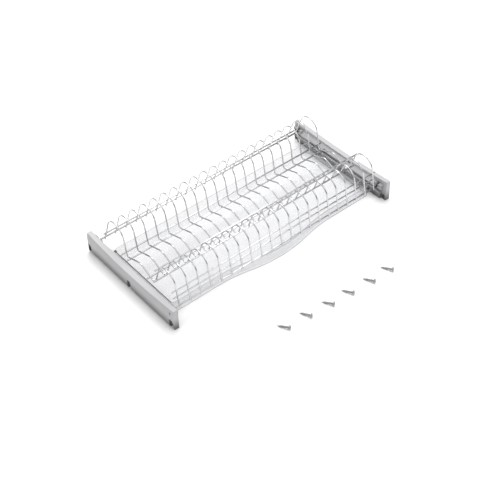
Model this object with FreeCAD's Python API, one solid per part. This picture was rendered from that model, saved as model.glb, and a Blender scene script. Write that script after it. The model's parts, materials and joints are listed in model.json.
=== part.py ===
import FreeCAD, Part
import math
import os

# Dish drying rack for a wall cabinet, in millimetres.
# +X runs along the cabinet's width, +Y points to the back and +Z is up.
# The origin lies half way between the two side rails, half way along them,
# at the level of their undersides.

Vector = FreeCAD.Vector

# ---------------------------------------------------------------- overall size
outer_width = 570.0           # across the outer faces of both rails
rail_length = 285.0           # front end to back end of a rail

# ----------------------------------------------------------------- side rails
rail_thickness = 13.0         # wall of a rail, at the flat band of its outer face
rail_end_height = 48.5        # height of the wall at both ends
rail_middle_height = 42.0     # height of the wall where its top edge dips
rail_corner_radius = 3.5      # outer upright corners
rail_band_low = 10.0          # flat band of the outer face, against the cabinet side
rail_band_high = 26.0
rail_top_draw = 3.5           # outer face draws in by this much above the band
rail_base_draw = 3.0          # outer face draws in by this much below the band
foot_depth = 4.0              # foot stands this far inside the wall
foot_height = 15.5
ledge_front_setback = 13.0    # plain stretch before the lower ledge starts
ledge_back_setback = 14.0     # plain stretch behind both ledges
lower_ledge_depth = 7.5       # lower ledge reaches this far inside the wall
upper_ledge_depth = 8.0
upper_ledge_lip = 4.3         # upright edge of the upper ledge
upper_ledge_rise = 6.5        # slope above that edge
slot_bottom = 23.3            # floor of the slot that carries the tray
slot_bite = 1.0               # the slot cuts this far into the wall
lead_in_length = 16.0         # ramp at the front of the lower ledge
lead_in_drop = 6.0

# ----------------------------------------------------- screw holes in each rail
screw_hole_diameter = 5.4
screw_hole_height = 8.0
screw_hole_setback = 7.5      # from each end of the rail
head_seat_diameter = 10.5
head_seat_depth = 2.0
relief_width = 12.0           # arched relief round each hole, outer face
relief_height = 24.0
relief_depth = 7.0
collar_diameter = 9.0         # collar round each hole, inside the relief
collar_length = 3.0
dimple_diameter = 5.0         # moulding mark near the front end
dimple_depth = 6.5
dimple_setback = 9.7
dimple_height = 38.5
boss_length = 14.0            # small boss with an oval pocket, inner face
boss_height = 8.0
boss_relief = 1.5
boss_level = 37.0
boss_setback = 111.0          # from the front end of the rail
pocket_length = 9.0
pocket_width = 4.0
pocket_depth = 3.0

# -------------------------------------------------------------- wire and welds
divider_count = 21
divider_wire = 3.0            # diameter of a bent divider
tie_wire = 3.2                # diameter of the wires that cross the dividers
frame_wire = 4.0              # diameter of the two wires that sit in the clips
weld_sink = 0.25              # how far crossing wires are fused into each other
end_margin = 31.0             # rail's outer face to the first divider
tie_end_margin = 22.0         # rail's outer face to the end of a crossing wire
upper_back_end_margin = 27.0
wire_end_clearance = 0.5      # end of a frame wire to the wall of the rail
wire_end_break = 0.5          # chamfer on a cut wire end

# ------------------------------------------------------------ divider profile
back_leg_angle = 69.5         # steepness of the legs behind an arch
front_leg_angle = 80.0        # steepness of the legs in front of an arch
arch_radius = 26.5
back_arch_top = 101.1
middle_arch_top = 98.8
valley_height = 36.9          # low corner in front of the back arch
hump_height = 52.0            # support between the two rows
hump_share = 0.502            # place of the hump between its two low corners
base_height = 32.2            # low corner behind the middle arch
valley_radius = 4.0
hump_radius = 18.0
base_radius = 9.0
leg_end_clearance = 2.2       # tray rim to the cut ends of the legs

# ------------------------------------------------- places of the crossing wires
front_wire_setback = 21.7     # from the front end of the rails
front_wire_clearance = 1.9    # tray rim to the wire above it
back_wire_setback = 17.1      # from the back end of the rails
back_wire_clearance = 3.5     # tray rim to the wire above it
upper_back_tie_height = 44.8
valley_tie_height = 46.0
rise_tie_distance = 8.5       # along the rise, from the valley corner
slope_tie_distance = 16.7     # along the slope, from the base corner
middle_tie_height = 47.9
shoulder_tie_height = 81.4
upper_front_tie_height = 65.5
lower_front_tie_height = 51.8

# --------------------------------------------------------------------- clips
notch_clearance = 0.3         # round a frame wire in its clip
clip_reach = 7.0              # clip stands this far inside the wall
clip_seat = 3.0               # clip is let into the wall by this much
clip_back = 1.5               # thickness left behind the notch
clip_top = 38.0
front_clip_ahead = 12.7       # from the wire's centre to the clip's front face
front_clip_behind = 7.3
back_clip_ahead = 11.9
back_clip_behind = 13.1
funnel_width = 9.0
funnel_depth = 2.5
clip_edge_radius = 1.0

# ---------------------------------------------------------------------- tray
tray_wall = 1.8
flange_thickness = 2.0
flange_gap_below = 0.5        # tray flange to the slot's floor
flange_gap_above = 0.4        # tray flange to the upper ledge
flange_side_gap = 0.6         # tray flange to the wall of the rail
tray_side_gap = 6.0           # tray wall to the lower ledge
tray_front_setback = 37.0     # front of the rails to the straight front wall
tray_depth = 194.0
tray_bow = 18.0               # how far the front wall swells forward
bow_length = 298.4            # length of the tray's front taken by the bow
tray_corner_radius = 8.0

# -------------------------------------------------------------------- screws
screw_count = 6
screw_pitch = 50.8
screw_length = 25.0
screw_diameter = 4.8
screw_point = 8.0
head_diameter = 9.6
head_height = 3.0
head_rim = 0.8
head_crown_diameter = 6.4     # flat crown of the head, round the recess
point_diameter = 0.4
recess_length = 5.2           # cross recess in the head
recess_width = 1.0
recess_depth = 1.5
first_screw_x = -126.5        # middle of the first screw
first_screw_gap = 127.0       # from the front end of the rails to it
screw_row_drift = 3.4         # each next screw lies this much further forward
screw_heading = -62.0         # from the point to the head, seen from above
screw_turns = (2.0, -3.6, 0.9, -1.1, -3.4, -1.6)
screw_strays = ((0.3, 0.0), (1.4, -0.2), (2.0, -3.0), (0.2, -2.6), (2.0, -3.4), (0.0, -0.8))

# ------------------------------------------------------------- derived places
half_width = outer_width / 2
wall_face = half_width - rail_thickness
front_end = -rail_length / 2
back_end = rail_length / 2
flange_bottom = slot_bottom + flange_gap_below
tray_rim = flange_bottom + flange_thickness
slot_top = tray_rim + flange_gap_above
divider_pitch = (outer_width - 2 * end_margin) / (divider_count - 1)
frame_wire_reach = wall_face - wire_end_clearance
frame_weld_gap = (divider_wire + frame_wire) / 2 - weld_sink
tie_weld_gap = (divider_wire + tie_wire) / 2 - weld_sink
front_wire_height = tray_rim + front_wire_clearance + frame_wire / 2
back_wire_height = tray_rim + back_wire_clearance + frame_wire / 2
leg_end_height = tray_rim + leg_end_clearance
front_wire_place = (front_end + front_wire_setback, front_wire_height)
back_wire_place = (back_end - back_wire_setback, back_wire_height)


# ---------------------------------------------------------- geometry in (y, z)
def heading(angle):
    """Unit vector at an angle from +Y towards +Z."""
    return (math.cos(math.radians(angle)), math.sin(math.radians(angle)))


def shifted(point, direction, distance):
    return (point[0] + direction[0] * distance, point[1] + direction[1] * distance)


def at_height(point, direction, height):
    """Point at a given height on the line through a point."""
    return shifted(point, direction, (height - point[1]) / direction[1])


def crossing(first, first_way, second, second_way):
    """Where two lines meet."""
    cross = first_way[0] * second_way[1] - first_way[1] * second_way[0]
    gap = (second[0] - first[0], second[1] - first[1])
    return shifted(first, first_way, (gap[0] * second_way[1] - gap[1] * second_way[0]) / cross)


def towards(start, end):
    """Unit vector from one point to another."""
    length = math.hypot(end[0] - start[0], end[1] - start[1])
    return ((end[0] - start[0]) / length, (end[1] - start[1]) / length)


def upright(point, x=0.0):
    """Place a (y, z) point at a given x."""
    return Vector(x, point[0], point[1])


# ------------------------------------------------------------- solids in common
def block(x_range, y_range, z_range):
    size = [high - low for low, high in (x_range, y_range, z_range)]
    return Part.makeBox(*size, Vector(x_range[0], y_range[0], z_range[0]))


def cross_bar(diameter, x_range, place):
    """Round bar along X at a (y, z) place."""
    return Part.makeCylinder(
        diameter / 2, x_range[1] - x_range[0], upright(place, x_range[0]), Vector(1, 0, 0)
    )


def extruded(points, start, length):
    """Prism along X of a (y, z) outline."""
    outline = Part.makePolygon([upright(point, start) for point in points + points[:1]])
    return Part.Face(outline).extrude(Vector(length, 0, 0))


def rounded_path(points, radii):
    """Wire through (y, z) points, with a tangent arc at each inner point."""
    edges = []
    last = points[0]
    for before, corner, after, radius in zip(points, points[1:], points[2:], radii):
        arrive = towards(before, corner)
        leave = towards(corner, after)
        turn = math.acos(arrive[0] * leave[0] + arrive[1] * leave[1])
        trim = radius * math.tan(turn / 2)
        start = shifted(corner, arrive, -trim)
        end = shifted(corner, leave, trim)
        inward = towards((0.0, 0.0), (leave[0] - arrive[0], leave[1] - arrive[1]))
        middle = shifted(corner, inward, radius / math.cos(turn / 2) - radius)
        edges.append(Part.LineSegment(upright(last), upright(start)).toShape())
        edges.append(Part.Arc(upright(start), upright(middle), upright(end)).toShape())
        last = end
    edges.append(Part.LineSegment(upright(last), upright(points[-1])).toShape())
    return Part.Wire(edges)


# --------------------------------------------------------------- divider outline
back_leg_up = heading(180.0 - back_leg_angle)
front_leg_up = heading(front_leg_angle)
behind_back_leg = heading(90.0 - back_leg_angle)
ahead_of_front_leg = heading(90.0 + front_leg_angle)
behind_front_leg = heading(front_leg_angle - 90.0)
ahead_of_back_leg = heading(270.0 - back_leg_angle)


def leg_beside(centre, side):
    """A point on the leg that leaves an arch on the given side."""
    return shifted(centre, side, arch_radius)


def divider_lines():
    """Anchor points of the four legs, from back to front."""
    outer_back = shifted(back_wire_place, ahead_of_back_leg, frame_weld_gap)
    outer_front = shifted(front_wire_place, ahead_of_front_leg, frame_weld_gap)
    back_centre = at_height(
        shifted(outer_back, ahead_of_back_leg, arch_radius),
        back_leg_up,
        back_arch_top - arch_radius,
    )
    middle_centre = at_height(
        shifted(outer_front, behind_front_leg, arch_radius),
        front_leg_up,
        middle_arch_top - arch_radius,
    )
    return (
        outer_back,
        leg_beside(back_centre, ahead_of_front_leg),
        leg_beside(middle_centre, behind_back_leg),
        outer_front,
    )


outer_back, inner_back, inner_middle, outer_front = divider_lines()
valley = at_height(inner_back, front_leg_up, valley_height)
base = at_height(inner_middle, back_leg_up, base_height)
hump = (base[0] + hump_share * (valley[0] - base[0]), hump_height)
divider_points = (
    at_height(outer_back, back_leg_up, leg_end_height),
    crossing(outer_back, back_leg_up, inner_back, front_leg_up),
    valley,
    hump,
    base,
    crossing(inner_middle, back_leg_up, outer_front, front_leg_up),
    at_height(outer_front, front_leg_up, leg_end_height),
)
divider_radii = (arch_radius, valley_radius, hump_radius, base_radius, arch_radius)


def divider():
    """One bent wire in the plane x = 0."""
    path = rounded_path(divider_points, divider_radii)
    along = path.Edges[0].tangentAt(path.Edges[0].FirstParameter)
    rim = Part.makeCircle(divider_wire / 2, upright(divider_points[0]), along)
    solid = path.makePipeShell([Part.Wire([rim])], True, False)
    ends = [upright(divider_points[0]), upright(divider_points[-1])]
    rims = [
        edge
        for edge in solid.Edges
        if any(edge.CenterOfMass.distanceToPoint(end) < divider_wire / 10 for end in ends)
    ]
    return solid.makeChamfer(wire_end_break, rims)


# ---------------------------------------------------------------- crossing wires
def beside_leg(anchor, way, height, side):
    """Centre of a tie welded beside a leg at a given height of the leg."""
    return shifted(at_height(anchor, way, height), side, tie_weld_gap)


def under_run(corner, top, distance):
    """Centre of a tie welded under the run from a low corner to the hump."""
    way = towards(corner, top)
    down = (way[1], -way[0]) if way[0] > 0 else (-way[1], way[0])
    return shifted(shifted(corner, way, distance), down, tie_weld_gap)


tie_reach = half_width - tie_end_margin
crossing_wires = {
    "back_lower_wire": (back_wire_place, frame_wire, frame_wire_reach),
    "back_upper_wire": (
        beside_leg(outer_back, back_leg_up, upper_back_tie_height, behind_back_leg),
        tie_wire,
        half_width - upper_back_end_margin,
    ),
    "valley_leg_wire": (
        beside_leg(inner_back, front_leg_up, valley_tie_height, behind_front_leg),
        tie_wire,
        tie_reach,
    ),
    "valley_rise_wire": (under_run(valley, hump, rise_tie_distance), tie_wire, tie_reach),
    "base_slope_wire": (under_run(base, hump, slope_tie_distance), tie_wire, tie_reach),
    "middle_leg_wire": (
        beside_leg(inner_middle, back_leg_up, middle_tie_height, ahead_of_back_leg),
        tie_wire,
        tie_reach,
    ),
    "shoulder_wire": (
        beside_leg(inner_middle, back_leg_up, shoulder_tie_height, behind_back_leg),
        tie_wire,
        tie_reach,
    ),
    "front_upper_wire": (
        beside_leg(outer_front, front_leg_up, upper_front_tie_height, behind_front_leg),
        tie_wire,
        tie_reach,
    ),
    "front_middle_wire": (
        beside_leg(outer_front, front_leg_up, lower_front_tie_height, behind_front_leg),
        tie_wire,
        tie_reach,
    ),
    "front_lower_wire": (front_wire_place, frame_wire, frame_wire_reach),
}


def crossing_wire(place, diameter, reach):
    """Straight wire along X with broken ends."""
    bar = cross_bar(diameter, (-reach, reach), place)
    rims = [edge for edge in bar.Edges if isinstance(edge.Curve, Part.Circle)]
    return bar.makeChamfer(wire_end_break, rims)


# --------------------------------------------------------------------- side rail
ledge_front = front_end + ledge_front_setback
ledge_back = back_end - ledge_back_setback
front_clip_range = (
    front_wire_place[0] - front_clip_ahead,
    front_wire_place[0] + front_clip_behind,
)
back_clip_range = (back_wire_place[0] - back_clip_ahead, back_wire_place[0] + back_clip_behind)
clip_height_range = (slot_top, clip_top)


def drawn_in_arc(level, draw, rise):
    """Arc of the outer face from the edge of its flat band, drawn in over a rise."""
    radius = (draw**2 + rise**2) / (2 * draw)
    swing = math.asin(abs(rise) / radius) / 2
    middle_rise = math.copysign(radius * math.sin(swing), rise)
    start = Vector(half_width, front_end, level)
    middle = start + Vector(radius * (math.cos(swing) - 1), 0, middle_rise)
    return Part.Arc(start, middle, start + Vector(-draw, 0, rise)).toShape()


def rail_section():
    """Prism along the rail with a flat band between two drawn-in arcs."""
    top = drawn_in_arc(rail_band_high, rail_top_draw, rail_end_height - rail_band_high)
    base = drawn_in_arc(rail_band_low, rail_base_draw, -rail_band_low)
    inner = Part.makePolygon([
        Vector(half_width - rail_top_draw, front_end, rail_end_height),
        Vector(wall_face, front_end, rail_end_height),
        Vector(wall_face, front_end, 0),
        Vector(half_width - rail_base_draw, front_end, 0),
    ])
    band = Part.makePolygon([
        Vector(half_width, front_end, rail_band_low),
        Vector(half_width, front_end, rail_band_high),
    ])
    outline = Part.Wire(Part.sortEdges([top, base] + inner.Edges + band.Edges)[0])
    return Part.Face(outline).extrude(Vector(0, rail_length, 0))


def rail_wall():
    """Upright wall with a dipping top edge, a drawn-in face and rounded corners."""
    top_arc = Part.Arc(
        Vector(wall_face, front_end, rail_end_height),
        Vector(wall_face, 0, rail_middle_height),
        Vector(wall_face, back_end, rail_end_height),
    )
    sides = Part.makePolygon([
        Vector(wall_face, back_end, rail_end_height),
        Vector(wall_face, back_end, 0),
        Vector(wall_face, front_end, 0),
        Vector(wall_face, front_end, rail_end_height),
    ])
    outline = Part.Wire([top_arc.toShape()] + sides.Edges)
    wall = Part.Face(outline).extrude(Vector(rail_thickness, 0, 0))
    corners = [
        edge
        for edge in wall.Edges
        if edge.BoundBox.XMin > half_width - 0.1 and edge.BoundBox.YLength < 0.1
    ]
    return wall.makeFillet(rail_corner_radius, corners).common(rail_section())


def section_along_rail(points, y_range):
    """Prism along Y of an outline in (depth inside the wall, height)."""
    corners = [Vector(wall_face - depth, y_range[0], height) for depth, height in points]
    outline = Part.makePolygon(corners + corners[:1])
    return Part.Face(outline).extrude(Vector(0, y_range[1] - y_range[0], 0))


def lower_ledge():
    """Foot and lower ledge that carry the tray, with a ramp at the front."""
    ledge = section_along_rail(
        [(0, 0), (foot_depth, 0), (foot_depth, foot_height),
         (lower_ledge_depth, foot_height), (lower_ledge_depth, slot_bottom), (0, slot_bottom)],
        (ledge_front, ledge_back),
    )
    ramp = extruded(
        [
            (ledge_front, slot_bottom - lead_in_drop),
            (ledge_front + lead_in_length, slot_bottom),
            (ledge_front, slot_bottom),
        ],
        wall_face - lower_ledge_depth,
        lower_ledge_depth,
    )
    return ledge.cut(ramp)


def upper_ledge():
    """Ledge over the slot, between the two clips, with a sloping top."""
    lip_top = slot_top + upper_ledge_lip
    return section_along_rail(
        [(0, slot_top), (upper_ledge_depth, slot_top), (upper_ledge_depth, lip_top),
         (0, lip_top + upper_ledge_rise)],
        (front_clip_range[1], back_clip_range[0]),
    )


def screw_hole_places():
    """Distance along the rail and level of each screw hole."""
    return [
        (y, screw_hole_height)
        for y in (front_end + screw_hole_setback, 0.0, back_end - screw_hole_setback)
    ]


def relief_cutters():
    """Arched relief in the outer face at each screw hole."""
    x_range = (half_width - relief_depth, half_width)
    arch_level = relief_height - relief_width / 2
    cutters = []
    for y, _ in screw_hole_places():
        y_range = (y - relief_width / 2, y + relief_width / 2)
        cutters += [
            block(x_range, y_range, (0, arch_level)),
            cross_bar(relief_width, x_range, (y, arch_level)),
        ]
    return cutters


def screw_collars():
    """Collar round each screw hole, on the floor of its relief."""
    floor = half_width - relief_depth
    return [
        cross_bar(collar_diameter, (floor - collar_length, floor + collar_length), place)
        for place in screw_hole_places()
    ]


def screw_hole_cutters():
    """Through hole and inner head seat at each place."""
    cutters = []
    for place in screw_hole_places():
        in_foot = ledge_front < place[0] < ledge_back
        face = wall_face - foot_depth if in_foot else wall_face
        cutters += [
            cross_bar(screw_hole_diameter, (face, half_width), place),
            cross_bar(head_seat_diameter, (face, face + head_seat_depth), place),
        ]
    return cutters


def slot_cutter():
    """The part of the tray slot that bites into the wall."""
    return block(
        (wall_face, wall_face + slot_bite),
        (ledge_front, ledge_back),
        (slot_bottom, slot_top),
    )


def pocket_boss():
    """Boss on the inner face with an oval pocket in it."""
    y = front_end + boss_setback
    z_range = (boss_level - boss_height / 2, boss_level + boss_height / 2)
    boss = block(
        (wall_face - boss_relief, wall_face),
        (y - boss_length / 2, y + boss_length / 2),
        z_range,
    )
    x_range = (wall_face - upper_ledge_depth, wall_face - boss_relief + pocket_depth)
    half_run = (pocket_length - pocket_width) / 2
    pocket = block(
        x_range,
        (y - half_run, y + half_run),
        (boss_level - pocket_width / 2, boss_level + pocket_width / 2),
    )
    for end in (y - half_run, y + half_run):
        pocket = pocket.fuse(cross_bar(pocket_width, x_range, (end, boss_level)))
    return boss, pocket


def clip_seats():
    """Pockets in the wall that the two clips are let into."""
    return [
        block((wall_face - clip_reach, wall_face + clip_seat), y_range, clip_height_range)
        for y_range in (front_clip_range, back_clip_range)
    ]


def right_rail():
    boss, pocket = pocket_boss()
    dimple = cross_bar(
        dimple_diameter,
        (half_width - dimple_depth, half_width),
        (front_end + dimple_setback, dimple_height),
    )
    wall = rail_wall().cut(relief_cutters())
    body = wall.fuse([lower_ledge(), upper_ledge(), boss] + screw_collars()).removeSplitter()
    return body.cut(screw_hole_cutters() + clip_seats() + [slot_cutter(), pocket, dimple])


# ------------------------------------------------------------------------- clips
def right_clip(y_range, wire_place):
    """Saddle with an upward notch that a frame wire drops into."""
    notch_radius = frame_wire / 2 + notch_clearance
    x_range = (wall_face - clip_reach, wall_face + clip_seat)
    notch_range = (x_range[0], x_range[1] - clip_back)
    y = wire_place[0]
    body = block(x_range, y_range, clip_height_range)
    tips = [
        edge
        for edge in body.Edges
        if edge.BoundBox.XMax < x_range[0] + 0.1 and edge.BoundBox.ZMin > slot_top + 0.1
        or edge.BoundBox.XMax < x_range[0] + 0.1 and edge.BoundBox.YLength < 0.1
    ]
    body = body.makeFillet(clip_edge_radius, tips)
    round_floor = cross_bar(2 * notch_radius, notch_range, wire_place)
    throat = extruded(
        [
            (y - notch_radius, wire_place[1]),
            (y + notch_radius, wire_place[1]),
            (y + notch_radius, clip_top - funnel_depth),
            (y + funnel_width / 2, clip_top),
            (y - funnel_width / 2, clip_top),
            (y - notch_radius, clip_top - funnel_depth),
        ],
        notch_range[0],
        notch_range[1] - notch_range[0],
    )
    return body.cut([round_floor, throat])


# -------------------------------------------------------------------------- tray
tray_half_width = wall_face - lower_ledge_depth - tray_side_gap
tray_front = front_end + tray_front_setback
tray_back = tray_front + tray_depth
bow_half_width = bow_length / 2


def bow_edges(inset):
    """Front edge seen from above: straight ends and a smooth swell between."""
    half = bow_half_width / 2
    radius = (half**2 + (tray_bow / 2) ** 2) / tray_bow
    front = tray_front + inset
    swing = math.asin(half / radius)
    outer = radius + inset
    inner = radius - inset
    side_centre = tray_front - radius
    middle_centre = tray_front - tray_bow + radius

    def side_point(side, angle):
        x = side * (bow_half_width - outer * math.sin(angle))
        return Vector(x, side_centre + outer * math.cos(angle), 0)

    def middle_point(side, angle):
        x = side * inner * math.sin(angle)
        return Vector(x, middle_centre - inner * math.cos(angle), 0)

    arcs = []
    for side in (-1, 1):
        arcs.append(Part.Arc(*[side_point(side, swing * share) for share in (0, 0.5, 1)]))
    arcs.append(Part.Arc(middle_point(-1, swing), middle_point(0, 0), middle_point(1, swing)))
    return front, [arc.toShape() for arc in arcs]


def tray_outline(inset):
    """Closed outline of the tray from above, drawn in by an inset."""
    front, edges = bow_edges(inset)
    half = tray_half_width - inset
    back = tray_back - inset
    radius = tray_corner_radius - inset
    bend = radius * (1 - math.sqrt(0.5))
    for side in (-1, 1):
        edges += [
            Part.LineSegment(
                Vector(side * bow_half_width, front, 0), Vector(side * (half - radius), front, 0)
            ).toShape(),
            Part.Arc(
                Vector(side * (half - radius), front, 0),
                Vector(side * (half - bend), front + bend, 0),
                Vector(side * half, front + radius, 0),
            ).toShape(),
            Part.LineSegment(
                Vector(side * half, front + radius, 0), Vector(side * half, back - radius, 0)
            ).toShape(),
            Part.Arc(
                Vector(side * half, back - radius, 0),
                Vector(side * (half - bend), back - bend, 0),
                Vector(side * (half - radius), back, 0),
            ).toShape(),
        ]
    edges.append(
        Part.LineSegment(
            Vector(-half + radius, back, 0), Vector(half - radius, back, 0)
        ).toShape()
    )
    return Part.Wire(Part.sortEdges(edges)[0])


def tray_flange(side):
    """Runner that hangs in the slot of one rail."""
    inner = tray_half_width - tray_wall
    outer = wall_face - flange_side_gap
    x_range = (inner, outer) if side > 0 else (-outer, -inner)
    return block(
        x_range,
        (tray_front + tray_corner_radius, tray_back - tray_corner_radius),
        (flange_bottom, tray_rim),
    )


def drip_tray():
    shell = Part.Face(tray_outline(0.0)).extrude(Vector(0, 0, tray_rim))
    hollow = Part.Face(tray_outline(tray_wall)).extrude(Vector(0, 0, tray_rim))
    hollow.translate(Vector(0, 0, tray_wall))
    inside = block(
        (-tray_half_width + tray_wall, tray_half_width - tray_wall),
        (tray_front - tray_bow, tray_back),
        (flange_bottom, tray_rim),
    )
    flanges = [tray_flange(side).cut(inside) for side in (-1, 1)]
    return shell.cut(hollow).fuse(flanges).removeSplitter()


# ------------------------------------------------------------------------ screws
def screw():
    """Pan-head screw with its point at the origin and its head along +X."""
    shank = screw_diameter / 2
    head = head_diameter / 2
    dome_end = screw_length + head_height
    rim_end = screw_length + head_rim
    crown = head_crown_diameter / 2
    along = Vector(1, 0, 0)
    solid = Part.makeCone(point_diameter / 2, shank, screw_point, Vector(0, 0, 0), along)
    solid = solid.fuse([
        Part.makeCylinder(shank, screw_length - screw_point, Vector(screw_point, 0, 0), along),
        Part.makeCylinder(head, head_rim, Vector(screw_length, 0, 0), along),
        Part.makeCone(head, crown, head_height - head_rim, Vector(rim_end, 0, 0), along),
    ]).removeSplitter()
    slots = [
        block(
            (dome_end - recess_depth, dome_end + recess_depth),
            (-long_side / 2, long_side / 2),
            (-short_side / 2, short_side / 2),
        )
        for long_side, short_side in (
            (recess_length, recess_width),
            (recess_width, recess_length),
        )
    ]
    return solid.cut(slots[0].fuse(slots[1]))


def fixing_screws():
    """Loose screws in a row in front, each resting on its head rim and shank."""
    tilt = math.atan2((head_diameter - screw_diameter) / 2, screw_length - screw_point)
    point_height = screw_diameter / 2 * math.cos(tilt) - screw_point * math.sin(tilt)
    solids = []
    for index in range(screw_count):
        stray_x, stray_y = screw_strays[index]
        middle = Vector(
            first_screw_x + index * screw_pitch + stray_x,
            front_end - first_screw_gap - index * screw_row_drift + stray_y,
            point_height,
        )
        loose = screw()
        loose.translate(Vector(-screw_length / 2, 0, 0))
        point = Vector(-screw_length / 2, 0, 0)
        loose.rotate(point, Vector(0, 1, 0), -math.degrees(tilt))
        loose.rotate(Vector(0, 0, 0), Vector(0, 0, 1), screw_heading + screw_turns[index])
        loose.translate(middle)
        solids.append(loose)
    return Part.makeCompound(solids)


# ------------------------------------------------------------------------ output
def mirrored(shape):
    return shape.mirror(Vector(0, 0, 0), Vector(1, 0, 0))


def build_nodes():
    """All pieces of the rack by name."""
    nodes = {}
    wire = divider()
    for index in range(divider_count):
        piece = wire.copy()
        piece.translate(Vector((index - (divider_count - 1) / 2) * divider_pitch, 0, 0))
        nodes[f"divider_wire_{index + 1:02d}"] = piece
    for name, (place, diameter, reach) in crossing_wires.items():
        nodes[name] = crossing_wire(place, diameter, reach)
    rail = right_rail()
    nodes["right_rail"] = rail
    nodes["left_rail"] = mirrored(rail)
    clip_places = {
        "front": (front_clip_range, front_wire_place),
        "back": (back_clip_range, back_wire_place),
    }
    for name, (y_range, wire_place) in clip_places.items():
        clip = right_clip(y_range, wire_place)
        nodes[f"right_{name}_clip"] = clip
        nodes[f"left_{name}_clip"] = mirrored(clip)
    nodes["drip_tray"] = drip_tray()
    nodes["fixing_screws"] = fixing_screws()
    return nodes


def export(nodes):
    os.makedirs("parts", exist_ok=True)
    for name, shape in nodes.items():
        shape.exportStep(f"parts/{name}.step")
        print(
            f"{name}: valid {shape.isValid()}, solids {len(shape.Solids)}, "
            f"volume {shape.Volume:.1f} mm3, box {shape.BoundBox}"
        )


export(build_nodes())
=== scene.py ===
"""Looks of a dish drying rack: polished wire, grey side rails, a clear drip tray and loose screws."""

import json
import logging
import math
from dataclasses import dataclass, field
from enum import Enum
from typing import Sequence

import bmesh
import bpy
from mathutils import Matrix, Vector

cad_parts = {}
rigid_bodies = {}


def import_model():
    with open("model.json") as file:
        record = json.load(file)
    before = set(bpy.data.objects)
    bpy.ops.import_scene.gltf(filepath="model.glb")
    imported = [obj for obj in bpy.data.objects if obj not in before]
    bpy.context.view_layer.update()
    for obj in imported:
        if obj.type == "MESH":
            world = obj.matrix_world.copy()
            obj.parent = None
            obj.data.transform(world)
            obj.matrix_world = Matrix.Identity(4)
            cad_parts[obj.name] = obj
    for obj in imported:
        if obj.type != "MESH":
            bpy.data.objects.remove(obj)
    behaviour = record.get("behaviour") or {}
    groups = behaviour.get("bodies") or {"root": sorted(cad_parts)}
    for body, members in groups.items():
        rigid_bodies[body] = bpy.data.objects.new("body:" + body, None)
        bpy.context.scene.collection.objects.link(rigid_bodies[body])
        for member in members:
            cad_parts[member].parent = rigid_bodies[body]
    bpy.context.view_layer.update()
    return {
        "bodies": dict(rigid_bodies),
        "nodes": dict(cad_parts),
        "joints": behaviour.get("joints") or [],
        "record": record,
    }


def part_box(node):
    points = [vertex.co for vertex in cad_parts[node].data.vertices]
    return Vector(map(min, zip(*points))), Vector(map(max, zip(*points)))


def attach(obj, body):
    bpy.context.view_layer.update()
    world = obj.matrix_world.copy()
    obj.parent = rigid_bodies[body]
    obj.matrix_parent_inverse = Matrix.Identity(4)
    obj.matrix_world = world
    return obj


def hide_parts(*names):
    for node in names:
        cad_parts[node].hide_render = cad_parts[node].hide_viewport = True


LOG = logging.getLogger("dish_rack")
MM = 0.001
NOISE_LOW, NOISE_HIGH = 0.3, 0.7  # most of a noise's values lie between these
MIX_FIRST, MIX_SECOND, MIX_RESULT = 6, 7, 2  # colour sockets of a Mix node, which share their names
TIP_TAPER = 0.62  # share of its radius that a wire keeps at its very end
Point = tuple[float, float]
Colour = tuple[float, float, float]


class Body(Enum):
    """Bodies of the rack that move as one."""

    RAILS = "rails"
    RACK = "rack"
    TRAY = "tray"
    SCREWS = "screws"


class Slot(Enum):
    """Material slots of the record."""

    WIRE = "wire"
    RAIL = "rail"
    CLIP = "clip"
    TRAY = "tray"
    SCREW = "screw"


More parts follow.
